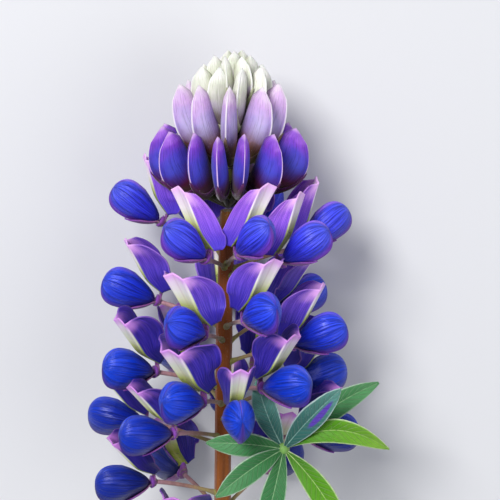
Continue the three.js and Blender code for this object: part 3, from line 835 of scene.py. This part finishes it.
# The third leaflet carries a painted violet reflection of the flowers.
LEAFLET_TINTS = ["bright", "green", "violet_reflected", "grey", "green", "green", "green", "bright"]
BRIGHT_STOPS = [(0.05, "3f7a10"), (0.5, "559416"), (0.95, "7cae34")]
GREEN_STOPS = [(0.05, "2c6a34"), (0.5, "387a44"), (0.95, "5a9660")]
GREY_STOPS = [(0.05, "2c6058"), (0.5, "3a7068"), (0.95, "5e9488")]
LEAF_SKINS = {
    "bright": leaf_finish("leaflet_bright", BRIGHT_STOPS, "b4d080", "d6e6b0"),
    "green": leaf_finish("leaflet_green", GREEN_STOPS, "9cc490", "c4dcc0"),
    "grey": leaf_finish("leaflet_grey", GREY_STOPS, "9cc4b8", "c8dcd8"),
    "violet_reflected": leaf_finish("leaflet_violet_reflected", GREY_STOPS, "9cc4b8", "c8dcd8", "5a3ca8"),
}
PETIOLE_SKIN = plain_finish(
    "petiole_skin", [(0, "7c7a3a"), (0.5, "6f9a4a"), (1, "7fae5a")], "5c7a3a"
)

# Finish of the hairs

HAIR_SILK = Finish("silk_hair", roughness=0.5, sheen=0.3).done(colour("dcd6e2"))


# Banner petals


def lobe_reach(whorl, t):
    """How far a banner's folded side reaches from its ridge, at a share t from foot to tip."""
    swell = t ** (math.log(0.5) / math.log(whorl["crest"]))
    return whorl["lobe"] * math.sin(math.pi * lerp(0.04, 0.93, swell)) ** 0.5


def beyond(x, blend):
    """x where it is positive and 0 where it is negative, with a rounded corner."""
    if abs(x) >= blend:
        return max(0, x)
    return (x + blend) ** 2 / (4 * blend)


def banner_spine(whorl, t):
    """A point of the banner's middle line, along and above the flower's axis, and its angle."""
    first, second = (math.radians(angle) for angle in whorl["lean"])
    past = t - BANNER_KNEE
    soft = math.hypot(past, BANNER_BEND)
    bent = (past + soft + BANNER_KNEE - math.hypot(BANNER_KNEE, BANNER_BEND)) / 2
    bending = (1 + past / soft) / 2
    forward = math.cos(first), math.cos(second) - math.cos(first)
    upward = math.sin(first), math.sin(second) - math.sin(first)
    x = BANNER_BASE[0] + whorl["banner"] * (t * forward[0] + bent * forward[1])
    z = BANNER_BASE[1] + whorl["banner"] * (t * upward[0] + bent * upward[1])
    return x, z, math.atan2(upward[0] + bending * upward[1], forward[0] + bending * forward[1])


def banner_point(whorl, flower, t, q, wave):
    """A point of the banner: t from foot to tip, q 0 on its middle line and 1 at its edges.

    wave turns the folded sides a little further back, in radians at their edges.
    """
    x, z, angle = banner_spine(whorl, t)
    sway, spread = (flower[4:] + [1])[:2]
    past = beyond(abs(q) - BANNER_RIDGE, 0.035)
    inner = (abs(q) - past) / BANNER_RIDGE
    outer = past / (1 - BANNER_RIDGE)
    reach = spread * lobe_reach(whorl, t) * outer
    fold = math.radians(lerp(*BANNER_FOLD, outer)) + wave * outer
    side = lerp(*BANNER_CHANNEL, t) * min(1, spread) ** 0.7 * inner + reach * math.cos(fold)
    back = reach * math.sin(fold) + 0.35 * (1 - inner * inner)
    droop = whorl["droop"] * reach + 0.9 * inner * t**4
    return Vector(
        (
            x - back * math.sin(angle) - droop * math.cos(angle),
            math.copysign(side, q) + sway * t,
            z + back * math.cos(angle) - droop * math.sin(angle),
        )
    )


def banner_petal(name, whorl, flower, seed):
    def place(u, v):
        q = 2 * u - 1
        wave = 0.22 * noise.noise(Vector((math.copysign(4, q), v * 2.6, seed)))
        return banner_point(whorl, flower, v, q, wave)

    def relief(u, v):
        outer = max(0, abs(2 * u - 1) - BANNER_RIDGE) / (1 - BANNER_RIDGE)
        vein = noise.noise(Vector((outer * 9 + seed, v * 0.9, math.copysign(5, u - 0.5))))
        crimp = noise.noise(Vector((outer * 3, v * 5, seed + 7)))
        return smooth(0, 0.12, outer) * (0.09 * vein + 0.16 * crimp * outer * outer)

    piece = petal_sheet(name, *BANNER_STEPS, place, relief)
    wall(piece, BANNER_WALL, second_side=1)
    return piece


# Wing petals


def wing_outline(forward):
    """The wing pair's upper outline, forward and up, in half lengths and half heights."""
    blunt = WING_BLUNT[0 if forward > 0 else 1]
    stretched = math.copysign(abs(forward) ** blunt, forward)
    return stretched, math.sqrt(max(0, 1 - forward * forward)) * (1 + WING_EGG * forward)


def wing_share(x, z):
    """How far (x, z) lies from the wing pair's middle towards its outline, and how high."""
    low, high = max(abs(x), 1e-4), 1.0
    for _ in range(16):
        share = (low + high) / 2
        reach = x / share
        blunt = WING_BLUNT[0 if reach > 0 else 1]
        forward = math.copysign(abs(reach) ** (1 / blunt), reach)
        up = wing_outline(forward)[1]
        if share * up < abs(z):
            low = share
        else:
            high = share
    return high, math.sqrt(max(0, 1 - forward * forward))


def wing_point(whorl, turn, share):
    """A point of the wing pair: share from its foot to its front, turn round its length."""
    height, cheek = whorl["wing"]
    forward = -math.cos(math.pi * share)
    x, up = wing_outline(forward)
    level = lerp(-WING_KEEL * up, up, (1 + math.sin(turn)) / 2)
    keel = WING_KEEL if level < 0 else 1
    inside, rise = wing_share(x, level / keel)
    pinch = 1 + (WING_PINCH * rise if level < 0 else 0)
    flank = math.sqrt(max(0, 1 - inside * inside)) ** pinch
    side = math.copysign(cheek * flank, math.cos(turn))
    return Vector((WING_MIDDLE + x * WING_LENGTH / 2, side, height * level))


def wing_pair(name, whorl, ribs, seed):
    def relief(turn, share):
        flank = abs(math.cos(turn))
        drift = turn + 0.5 * noise.noise(Vector((math.cos(turn), share * 2.5, seed)))
        fold = noise.noise(Vector((math.cos(drift) * 7.5, math.sin(drift) * 7.5, share + seed)))
        fade = math.sin(math.pi * share) ** 0.6 * smooth(0.08, 0.4, flank)
        seam = bell(math.cos(turn), 0.09) * smooth(0.2, 0.45, share)
        dent = noise.noise(Vector((math.cos(turn), math.sin(turn), share * 2 + seed)))
        fold *= 1 - 0.6 * smooth(0.5, 0.9, share)
        return fade * (ribs * abs(fold) + 0.2 * dent - 0.04) - 0.3 * seam

    return pod(name, *WING_STEPS, lambda turn, share: wing_point(whorl, turn, share), relief)


# Stalks and calyxes


def wing_underside(whorl, x):
    """How far the wing pair reaches below its flower's axis, at x along it."""
    share = min(1, max(-1, (x - WING_MIDDLE) / (WING_LENGTH / 2)))
    return WING_KEEL * whorl["wing"][0] * math.sqrt(1 - share * share) * (1 + WING_EGG * share)


def flower_stalk(whorl, flower):
    mouth = flower_axes(whorl, flower).translation
    foot = stem_centre(mouth.y - STALK_CLIMB)
    foot += (mouth - foot).normalized() * STALK_SUNK
    bend = foot.lerp(mouth, 0.5) + Y * STALK_ARCH

    def line(t):
        return foot.lerp(bend, t).lerp(bend.lerp(mouth, t), t)

    def radius(t):
        return STALK_RADIUS + STALK_SWELL * bell(t, 0.12) + STALK_FLARE * t

    return tube("stalk", *STALK_STEPS, line, radius)


def calyx(whorl, axes):
    """The cup, its long lower lip under the wing petals and its short upper lip."""

    def cup(turn, share):
        x = lerp(*CUP_SPAN, share)
        radius = CUP_RADIUS * math.sin(math.pi * min(0.5, 0.08 + share * 0.5)) ** 1.2
        radius *= min(1, share / 0.04) * min(1, (1 - share) / 0.02)
        return Vector((x, radius * math.cos(turn), radius * math.sin(turn)))

    def lower(u, v):
        x = lerp(LIP_STATIONS[0], LIP_STATIONS[-1], v)
        q = 2 * u - 1
        under = max(0.75, wing_underside(whorl, x)) + 0.1
        half = along_stations(LIP_STATIONS, LIP_HALF_WIDTHS, x)
        half *= 1 - 0.8 * smooth(0.6, 1, v)
        return Vector((x, half * q, -under + 0.7 * (math.hypot(half * q, 0.3) - 0.3)))

    def upper(u, v):
        x = lerp(*UPPER_LIP_SPAN, v)
        q = 2 * u - 1
        cleft = 0.5 * v * bell(q, 0.3)
        side = UPPER_LIP_HALF_WIDTH * q * (1 - 0.3 * v)
        return Vector((x - 0.9 * v - cleft, side, 0.9 + 1.7 * v - 0.5 * q * q))

    lips = [
        petal_sheet("lower", *LOWER_LIP_STEPS, lower),
        petal_sheet("upper", *UPPER_LIP_STEPS, upper),
    ]
    for lip in lips:
        wall(lip, LIP_WALL)
    piece = joined("calyx", [pod("cup", *CUP_STEPS, cup)] + lips)
    piece.data.transform(axes)
    return piece


# Closed buds


def bud_axes(row, azimuth):
    """A bud's own axes. Each bud leans and turns a little in its own way."""
    radial = outward(azimuth)
    tilt = math.radians(row["tilt"] + 1.8 * math.sin(azimuth * 1.3))
    along = radial * math.sin(tilt) + Y * math.cos(tilt)
    out = radial * math.cos(tilt) - Y * math.sin(tilt)
    foot = stem_centre(row["base"][0]) + radial * row["base"][1]
    axes = Matrix((along, out, along.cross(out))).transposed().to_4x4()
    axes @= Matrix.Rotation(row["loose"] * math.sin(azimuth * 2.1 + row["foot"]), 4, "X")
    axes.translation = foot
    return axes


def bud_point(row, turn, share, grow=0.0):
    """A point of a bud in its own axes, x along it and y outwards, where turn is 0."""
    swell = math.sin(math.pi * lerp(0.1, 0.94, share)) ** 0.6
    swell *= min(1, share / 0.05) ** 0.5 * min(1, (1 - share) / 0.14) ** 0.6
    wide = row["width"] / 2 * swell + grow
    thick = row["thick"] / 2 * swell * (1 - 0.2 * (1 + math.cos(turn))) + grow
    rim = 0.2 * bell(turn, 0.16) * smooth(0, 0.25, share) * swell
    flat = math.copysign(abs(math.sin(turn)) ** 1.15, turn)
    bow = row["bow"] * math.sin(math.pi * share)
    return Vector((row["length"] * share, bow + wide * math.cos(turn) + rim, thick * flat))


def bud(row, azimuth, seed):
    def relief(turn, share):
        crease = -0.12 * bell(abs(turn) - 0.42, 0.12) * math.sin(math.pi * share)
        fold = noise.noise(Vector((math.cos(turn) * 2, math.sin(turn) * 2, share * 2.2 + seed)))
        return crease + 0.16 * fold * math.sin(math.pi * share)

    body = pod("bud", *BUD_STEPS, lambda turn, share: bud_point(row, turn, share), relief)
    body.data.transform(bud_axes(row, azimuth))
    return body


def bud_calyx(row, azimuth):
    """The two-lipped cup round a bud's foot, open at the top."""

    def place(u, v):
        turn = 2 * math.pi * (u - 0.5)
        height = 0.15 + 0.36 * bell(turn, 0.5) + 0.1 * bell(math.pi - abs(turn), 0.8)
        return bud_point(row, turn, max(0.004, height * v), 0.1 * smooth(0, 0.3, v))

    piece = petal_sheet("bud_calyx", *BUD_CUP_STEPS, place)
    face_outwards(piece, merge=0.01)
    wall(piece, CUP_WALL, offset=1)
    face_outwards(piece)
    piece.data.transform(bud_axes(row, azimuth))
    return piece


def bud_stalk(row, azimuth):
    foot = stem_centre(row["foot"])
    mouth = bud_axes(row, azimuth).translation

    def line(t):
        return foot.lerp(mouth, t)

    return tube("bud_stalk", *BUD_STALK_STEPS, line, lambda t: lerp(*BUD_STALK_RADII, t))


# The leaf


def leaflet_point(leaflet, t, q):
    """A point of a leaflet: t from foot to tip, q 0 on its midrib and 1 at its edges."""
    bearing, lift, length, arch, bow = leaflet
    bearing, lift = math.radians(bearing), math.radians(lift)
    flat = Vector((math.cos(bearing), math.sin(bearing), 0))
    along = flat * math.cos(lift) + Z * math.sin(lift)
    side = Z.cross(along).normalized()
    up = along.cross(side)
    half = max(0, along_stations(LEAFLET_STATIONS, LEAFLET_HALF_WIDTHS, t))
    half *= min(1, (1.02 - t) / 0.06) ** 0.5
    rise = arch * (t - 1.7 * t * t)
    fold = LEAFLET_FOLD - LEAFLET_CURL * abs(q)
    return (
        LEAF_HUB
        + along * length * t
        + up * (rise + abs(q) * half * math.sin(fold))
        + side * (4 * bow * t * (1 - t) + q * half * math.cos(fold))
    )


def leaflet_blade(leaflet, seed):
    def relief(u, v):
        q = abs(2 * u - 1)
        rib = -0.16 * bell(q, 0.09) * (1 - 0.6 * v)
        side_vein = -0.05 * bell(((v * 11 - q * 1.6) % 1) - 0.5, 0.14) * smooth(0.05, 0.3, q)
        wave = 0.25 * q * q * noise.noise(Vector((v * 5, q, seed)))
        return rib + side_vein + wave

    def place(u, v):
        return leaflet_point(leaflet, lerp(LEAFLET_STATIONS[0], 1, v), 2 * u - 1)

    blade = petal_sheet("leaflet", *LEAFLET_STEPS, place, relief)
    wall(blade, LEAFLET_WALL)
    return blade


# Hairs

HAIR_SEED = random.Random(4)


def hairs_on(piece, count, length, lean):
    """Roots and tips of hairs spread over a piece's faces, leaning towards the spike's tip."""
    faces = list(piece.data.polygons)
    found = []
    for face in HAIR_SEED.choices(faces, [f.area for f in faces], k=count):
        corners = [piece.data.vertices[i].co for i in face.vertices[:3]]
        a, b = sorted((HAIR_SEED.random(), HAIR_SEED.random()))
        root = corners[0] * a + corners[1] * (b - a) + corners[2] * (1 - b)
        reach = length * HAIR_SEED.uniform(0.6, 1.2)
        found.append((root, root + (face.normal + Y * lean).normalized() * reach))
    return found


def hair_coat(name, hairs, radius):
    """One mesh of thin three-sided spines."""
    points, faces = [], []
    thirds = [2 * math.pi * k / 3 for k in range(3)]
    for root, tip in hairs:
        ahead = (tip - root).normalized()
        across = ahead.orthogonal().normalized() * radius
        other = ahead.cross(across)
        start = len(points)
        points += [root + across * math.cos(a) + other * math.sin(a) for a in thirds]
        points.append(tip)
        faces.append((start, start + 2, start + 1))
        faces += [(start + k, start + (k + 1) % 3, start + 3) for k in range(3)]
    return meshed(name, points, faces)


# The stage


def stage():
    bpy.ops.object.select_all(action="DESELECT")
    bpy.ops.mesh.primitive_plane_add(size=FLOOR_WIDTH)
    floor = named("pale_floor")
    paper = Finish("floor_paper", roughness=0.85)
    floor.data.materials.append(paper.done(colour(FLOOR_COLOUR)))
    world = bpy.data.worlds.new("soft_sky")
    world.use_nodes = True
    sky = world.node_tree.nodes["Background"]
    sky.inputs["Color"].default_value = colour(SKY_COLOUR)
    sky.inputs["Strength"].default_value = SKY_STRENGTH
    bpy.context.scene.world = world
    for facts in LAMPS:
        lamp = bpy.data.lights.new(facts["name"], "AREA")
        lamp.shape = "DISK"
        lamp.size = facts["size"]
        lamp.energy = facts["power"]
        holder = bpy.data.objects.new(facts["name"], lamp)
        place = Vector(facts["place"])
        holder.location = SET_DOWN @ LIT_POINT + place
        holder.rotation_euler = (-place).to_track_quat("-Z", "Y").to_euler()
        bpy.context.collection.objects.link(holder)


def camera():
    back = Vector((0, math.sin(CAMERA_TILT), math.cos(CAMERA_TILT)))
    up = Vector((0, math.cos(CAMERA_TILT), -math.sin(CAMERA_TILT)))
    lens = bpy.data.cameras.new("camera")
    lens.sensor_width = SENSOR_WIDTH
    lens.lens = SENSOR_WIDTH * CAMERA_DISTANCE / FRAME_WIDTH
    lens.clip_start = 0.01
    holder = bpy.data.objects.new("camera", lens)
    turned = Matrix((up.cross(back), up, back)).transposed().to_4x4()
    turned.translation = SET_DOWN @ FRAME_CENTRE + back * CAMERA_DISTANCE
    holder.matrix_world = turned
    bpy.context.collection.objects.link(holder)
    bpy.context.scene.camera = holder


# Assembly


def make_flowers():
    stalks, calyxes = [], []
    for w, whorl in enumerate(WHORLS):
        for f, flower in enumerate(whorl["flowers"]):
            axes = flower_axes(whorl, flower)
            name = f"whorl{w + 1}_flower{f + 1}"
            seed = 10 * w + 1.7 * f
            faces = [BANNER_FACES[w], BANNER_BACKS[w]]
            banner = banner_petal(f"{name}_banner_petal", whorl, flower, seed)
            finished(banner, faces, [f"{name}_banner"], axes)
            wings = wing_pair(f"{name}_wing_petals", whorl, WING_RIBS[w], seed)
            finished(wings, [WING_SKINS[w]], [f"{name}_wings"], axes)
            stalks.append(flower_stalk(whorl, flower))
            calyxes.append(calyx(whorl, axes))
    return joined("flower_stalks", stalks), joined("calyxes", calyxes)


def make_rachis():
    stations = [k / (len(STEM_RADII) - 1) for k in range(len(STEM_RADII))]

    def line(t):
        return stem_centre(STEM_TOP * t)

    def radius(t):
        return along_stations(stations, STEM_RADII, t)

    piece = tube("rachis", *RACHIS_STEPS, line, radius)
    heights = []
    for vertex in piece.data.vertices:
        x, y, z = vertex.co
        rib = math.cos(STEM_RIBS * math.atan2(z, x - stem_centre(y).x))
        heights.append(0.05 * rib + 0.12 * noise.noise(Vector((x * 0.5, y * 0.12, z * 0.5))))
    emboss(piece, heights)
    return piece


def make_buds():
    around = VIOLET_ROW["azimuths"]
    violet = [bud(VIOLET_ROW, azimuth, azimuth) for azimuth in around]
    violet_cups = [bud_calyx(VIOLET_ROW, azimuth) for azimuth in around]
    stalks = [bud_stalk(VIOLET_ROW, azimuth) for azimuth in around]
    pale, pale_cups = [], []
    for row in PALE_ROWS:
        for azimuth in row["azimuths"]:
            skin, cup_skin = (PALE_SKIN, PALE_CUP) if row is PALE_ROWS[0] else (TIP_SKIN, TIP_CUP)
            pale.append(bud(row, azimuth, azimuth + row["foot"]))
            pale[-1].data.materials.append(skin)
            pale_cups.append(bud_calyx(row, azimuth))
            pale_cups[-1].data.materials.append(cup_skin)
            stalks.append(bud_stalk(row, azimuth))
    core = tube(
        "bud_core",
        *BUD_CORE_STEPS,
        lambda t: stem_centre(lerp(STEM_TOP + FIT_GAP, CORE_TOP, t)),
        lambda t: lerp(*BUD_CORE_RADII, t),
    )
    return (
        joined("violet_bud_petals", violet),
        joined("pale_bud_petals", pale),
        joined("violet_bud_calyxes", violet_cups),
        joined("pale_bud_calyxes", pale_cups),
        joined("bud_stalks", stalks + [core]),
    )


def make_petiole():
    bearing = math.degrees(math.atan2(LEAF_HUB.z, LEAF_HUB.x))
    seat = STEM_RADII[1] + FIT_GAP + PETIOLE_RADII[0] / 2
    start = stem_centre(PETIOLE_FOOT) + outward(bearing) * seat
    bend = start + outward(bearing) * PETIOLE_BEND[0] + Y * PETIOLE_BEND[1]

    def line(t):
        return start.lerp(bend, t).lerp(bend.lerp(LEAF_HUB, t), t)

    def radius(t):
        return lerp(*PETIOLE_RADII, min(1, 2.5 * t))

    def knob(turn, share):
        wide = HUB_RADIUS * math.sin(math.pi * share)
        high = -HUB_HALF_HEIGHT * math.cos(math.pi * share)
        return LEAF_HUB + Vector((wide * math.cos(turn), wide * math.sin(turn), high))

    stalk = tube("petiole", *PETIOLE_STEPS, line, radius)
    return joined("petiole_and_hub", [stalk, pod("hub", *HUB_STEPS, knob)])


bpy.context.scene.view_settings.view_transform = "Standard"

stalks, calyxes = make_flowers()
rachis = make_rachis()
violet, pale, violet_cups, pale_cups, bud_stalks = make_buds()
leaflets = [leaflet_blade(leaflet, k) for k, leaflet in enumerate(LEAFLETS)]
for blade, tint in zip(leaflets, LEAFLET_TINTS):
    blade.data.materials.append(LEAF_SKINS[tint])
leaf_blades = joined("leaf_blades", leaflets)
petiole = make_petiole()

stem_hairs = hairs_on(rachis, *RACHIS_HAIRS)
stem_hairs += hairs_on(stalks, *STALK_HAIRS)
stem_hairs += hairs_on(calyxes, *CALYX_HAIRS)
bud_hairs = hairs_on(violet_cups, *VIOLET_CUP_HAIRS)
bud_hairs += hairs_on(pale_cups, *PALE_CUP_HAIRS)
bud_hairs += hairs_on(pale, *PALE_BUD_HAIRS)
leaf_hairs = hairs_on(leaf_blades, *LEAFLET_HAIRS)
leaf_hairs += hairs_on(petiole, *PETIOLE_HAIRS)

finished(rachis, [RACHIS_BARK], ["stem"])
finished(stalks, [STALK_SKIN], ["stem"])
finished(calyxes, [CALYX_SKIN], ["stem"])
finished(violet, [VIOLET_SKIN], ["violet_buds"])
finished(pale, [], ["pale_buds"])
finished(violet_cups, [VIOLET_CUP], ["violet_buds"])
finished(pale_cups, [], ["pale_buds"])
finished(bud_stalks, [BUD_STALK_SKIN], ["violet_buds", "pale_buds"])
finished(leaf_blades, [], ["leaf"])
finished(petiole, [PETIOLE_SKIN], ["leaf"])
finished(hair_coat("stem_hairs", stem_hairs, HAIR_RADIUS), [HAIR_SILK])
finished(hair_coat("bud_hairs", bud_hairs, HAIR_RADIUS), [HAIR_SILK])
finished(hair_coat("leaf_hairs", leaf_hairs, LEAF_HAIR_RADIUS), [HAIR_SILK])

stage()
camera()

bpy.ops.object.select_all(action="DESELECT")
